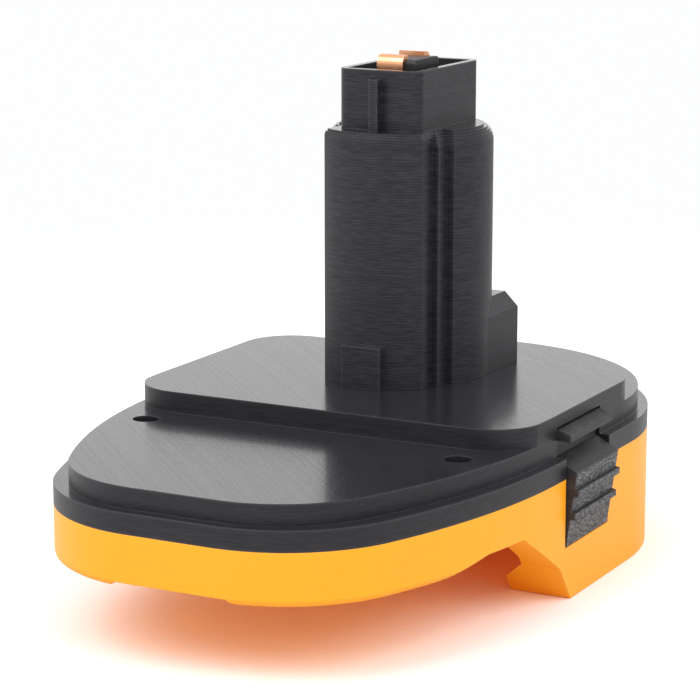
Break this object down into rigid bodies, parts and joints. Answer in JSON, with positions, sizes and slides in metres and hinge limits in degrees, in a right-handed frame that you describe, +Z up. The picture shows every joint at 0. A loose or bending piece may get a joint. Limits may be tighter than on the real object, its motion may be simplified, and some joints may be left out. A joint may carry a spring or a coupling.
{
  "type": "tool battery adapter",
  "caption": "Battery adapter with a rounded two-part body, slide-on pack rails below, sprung side latches and a plug-in contact post above.",
  "frame": {"origin": "centre of the bounding box at the surface under the feet", "axes": "+Z up along the contact post, +Y from the rounded front edge to the rear, +X to the right"},
  "size_m": [0.0908, 0.1424, 0.0968],
  "materials": {
    "orange_print": "printed, fine layer lines, satin",
    "black_print": "printed, fine layer lines, satin",
    "latch_print": "printed, rough supported faces",
    "carrier_plastic": "printed, fine layer lines",
    "copper_strip": "bright copper strip",
    "blade_brass": "stamped brass",
    "screw_steel": "zinc plated",
    "spring_steel": "drawn wire",
    "red_insulation": "soft insulation",
    "black_insulation": "soft insulation",
    "red_sleeve": "shrunk tube",
    "black_sleeve": "shrunk tube"
  },
  "bodies": {
    "adapter": {"base_shell": "orange_print", "top_cover": "black_print", "post_shell": "black_print", "terminal_carrier": "carrier_plastic", "post_contact_positive": "copper_strip", "post_contact_negative": "copper_strip", "latch_spring_left": "spring_steel", "latch_spring_right": "spring_steel", "cover_screws": "screw_steel", "post_screws": "screw_steel", "carrier_screws": "screw_steel", "pack_terminal_block": "carrier_plastic", "pack_blade_positive": "blade_brass", "pack_blade_negative": "blade_brass", "terminal_block_screws": "screw_steel", "wire_positive": "red_insulation", "wire_negative": "black_insulation", "shrink_sleeves_positive": "red_sleeve", "shrink_sleeves_negative": "black_sleeve"},
    "latch_left": {"latch_left": "latch_print"},
    "latch_right": {"latch_right": "latch_print"}
  },
  "joints": [
    {"name": "latch_left_press", "type": "slide", "parent": "adapter", "child": "latch_left", "axis": [1, 0, 0], "range_m": [0, 0.0028], "stiffness_N_per_m": 2600, "springref_m": -0.0005, "deforming": ["latch_spring_left"]},
    {"name": "latch_right_press", "type": "slide", "parent": "adapter", "child": "latch_right", "axis": [-1, 0, 0], "range_m": [0, 0.0028], "stiffness_N_per_m": 2600, "springref_m": -0.0005, "deforming": ["latch_spring_right"]}
  ]
}
